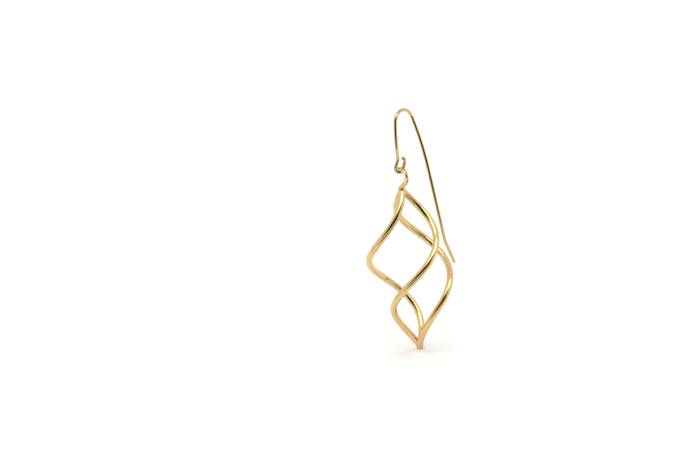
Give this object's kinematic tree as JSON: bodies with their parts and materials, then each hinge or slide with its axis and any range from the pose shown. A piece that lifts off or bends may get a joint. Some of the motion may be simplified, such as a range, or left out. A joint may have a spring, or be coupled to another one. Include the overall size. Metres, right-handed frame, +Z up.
{
  "type": "twisted dangle earring",
  "caption": "Dangle earring: a polished drop of twisted, bulging wires swings by a bowed eye ring in the open loop of a long ear hook.",
  "frame": {"origin": "top of the hook's arch at the wire's centre, where the earring hangs in the ear", "axes": "+Z up, the hook is bent in the YZ plane with its tail behind towards +Y, the drop hangs along -Z"},
  "size_m": [0.0179, 0.0233, 0.052],
  "materials": {
    "hook_gold": "polished drawn gold wire",
    "drop_gold": "high polished gold"
  },
  "bodies": {
    "hook": {"ear_hook": "hook_gold"},
    "drop": {"twist_drop": "drop_gold"}
  },
  "joints": [
    {"name": "drop_swing", "type": "hinge", "parent": "hook", "child": "drop", "pos_m": [0.00006, -0.00293, -0.01188], "axis": [0, 1, 0], "range_deg": [-30, 30]}
  ]
}
